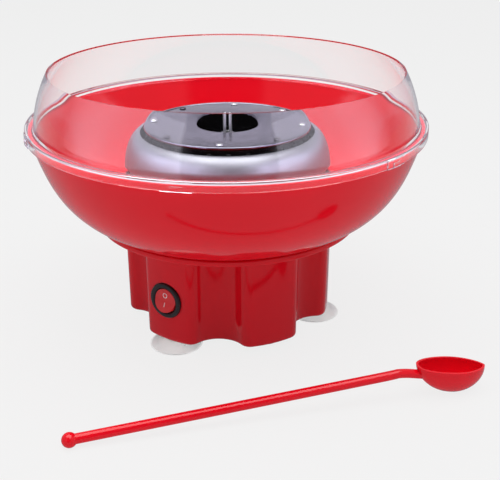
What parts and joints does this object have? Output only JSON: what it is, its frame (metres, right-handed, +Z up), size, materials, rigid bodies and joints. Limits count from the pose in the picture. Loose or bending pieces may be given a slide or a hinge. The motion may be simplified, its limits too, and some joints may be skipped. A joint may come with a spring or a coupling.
{
  "type": "cotton candy machine",
  "caption": "Household cotton candy machine: fluted base on suction feet, heated spinning head in a polished guard, bowl, clear windshield, rocker switch and sugar spoon.",
  "frame": {"origin": "on the table, on the axis that the head spins about", "axes": "+Z up along that axis; the front is -Y, and the base's lobes stand every 60 degrees from +X"},
  "size_m": [0.3064, 0.3191, 0.1812],
  "materials": {
    "red_plastic": "glossy",
    "rocker_plastic": "satin",
    "clear_plastic": "clear",
    "foot_plastic": "clear, slightly milky",
    "black_plastic": "satin",
    "head_metal": "dark satin",
    "polished_metal": "mirror polished",
    "bright_steel": "bright",
    "dull_steel": "zinc plated",
    "ceramic": "unglazed",
    "ferrite": "matte",
    "bronze": "sintered",
    "board": "matte"
  },
  "bodies": {
    "base": {"base_housing": "red_plastic", "base_plate": "black_plastic", "suction_foot_switch_side": "foot_plastic", "suction_foot_right": "foot_plastic", "suction_foot_rear": "foot_plastic", "base_screw_1": "dull_steel", "base_screw_2": "dull_steel", "base_screw_3": "dull_steel", "motor_bracket": "dull_steel", "motor_screw_1": "dull_steel", "motor_screw_2": "dull_steel", "motor_can": "dull_steel", "motor_end_cap": "black_plastic", "upper_bearing": "bronze", "lower_bearing": "bronze", "brush_left": "ferrite", "brush_right": "ferrite", "field_magnet_rear": "ferrite", "field_magnet_front": "ferrite", "heater_pedestal": "dull_steel", "heater_pan": "dull_steel", "heating_element": "dull_steel", "ceramic_support_1": "ceramic", "ceramic_support_2": "ceramic", "ceramic_support_3": "ceramic", "thermal_cutout": "dull_steel", "guard_ring": "polished_metal", "guard_screw_1": "dull_steel", "guard_screw_2": "dull_steel", "guard_screw_3": "dull_steel", "rectifier_board": "board", "cord_gland": "black_plastic", "switch_bezel": "black_plastic"},
    "rotor": {"drive_shaft": "bright_steel", "armature": "dull_steel", "cooling_fan": "black_plastic"},
    "head": {"head_top": "head_metal", "head_band": "head_metal", "head_bottom": "head_metal", "head_hub": "bright_steel", "head_drive_pin": "bright_steel", "head_rivet_1": "bright_steel", "head_rivet_2": "bright_steel", "head_rivet_3": "bright_steel", "head_rivet_4": "bright_steel", "head_rivet_5": "bright_steel", "head_rivet_6": "bright_steel", "head_rivet_7": "bright_steel", "head_rivet_8": "bright_steel"},
    "bowl": {"bowl": "red_plastic"},
    "windshield": {"windshield": "clear_plastic"},
    "rocker": {"switch_rocker": "rocker_plastic"},
    "spoon": {"sugar_spoon": "red_plastic"}
  },
  "joints": [
    {"name": "head_spin", "type": "hinge", "parent": "base", "child": "rotor", "pos_m": [0, 0, 0.05], "axis": [0, 0, 1], "continuous": true},
    {"name": "head_lift", "type": "slide", "parent": "rotor", "child": "head", "axis": [0, 0, 1], "range_m": [0, 0.12]},
    {"name": "bowl_lift", "type": "slide", "parent": "base", "child": "bowl", "axis": [0, 0, 1], "range_m": [0, 0.15]},
    {"name": "windshield_lift", "type": "slide", "parent": "bowl", "child": "windshield", "axis": [0, 0, 1], "range_m": [0, 0.12]},
    {"name": "switch_rock", "type": "hinge", "parent": "base", "child": "rocker", "pos_m": [-0.03608, -0.0625, 0.0367], "axis": [0.866, -0.5, 0], "range_deg": [0, 22]},
    {"name": "spoon_lift", "type": "slide", "parent": "base", "child": "spoon", "axis": [0, 0, 1], "range_m": [0, 0.2]}
  ]
}
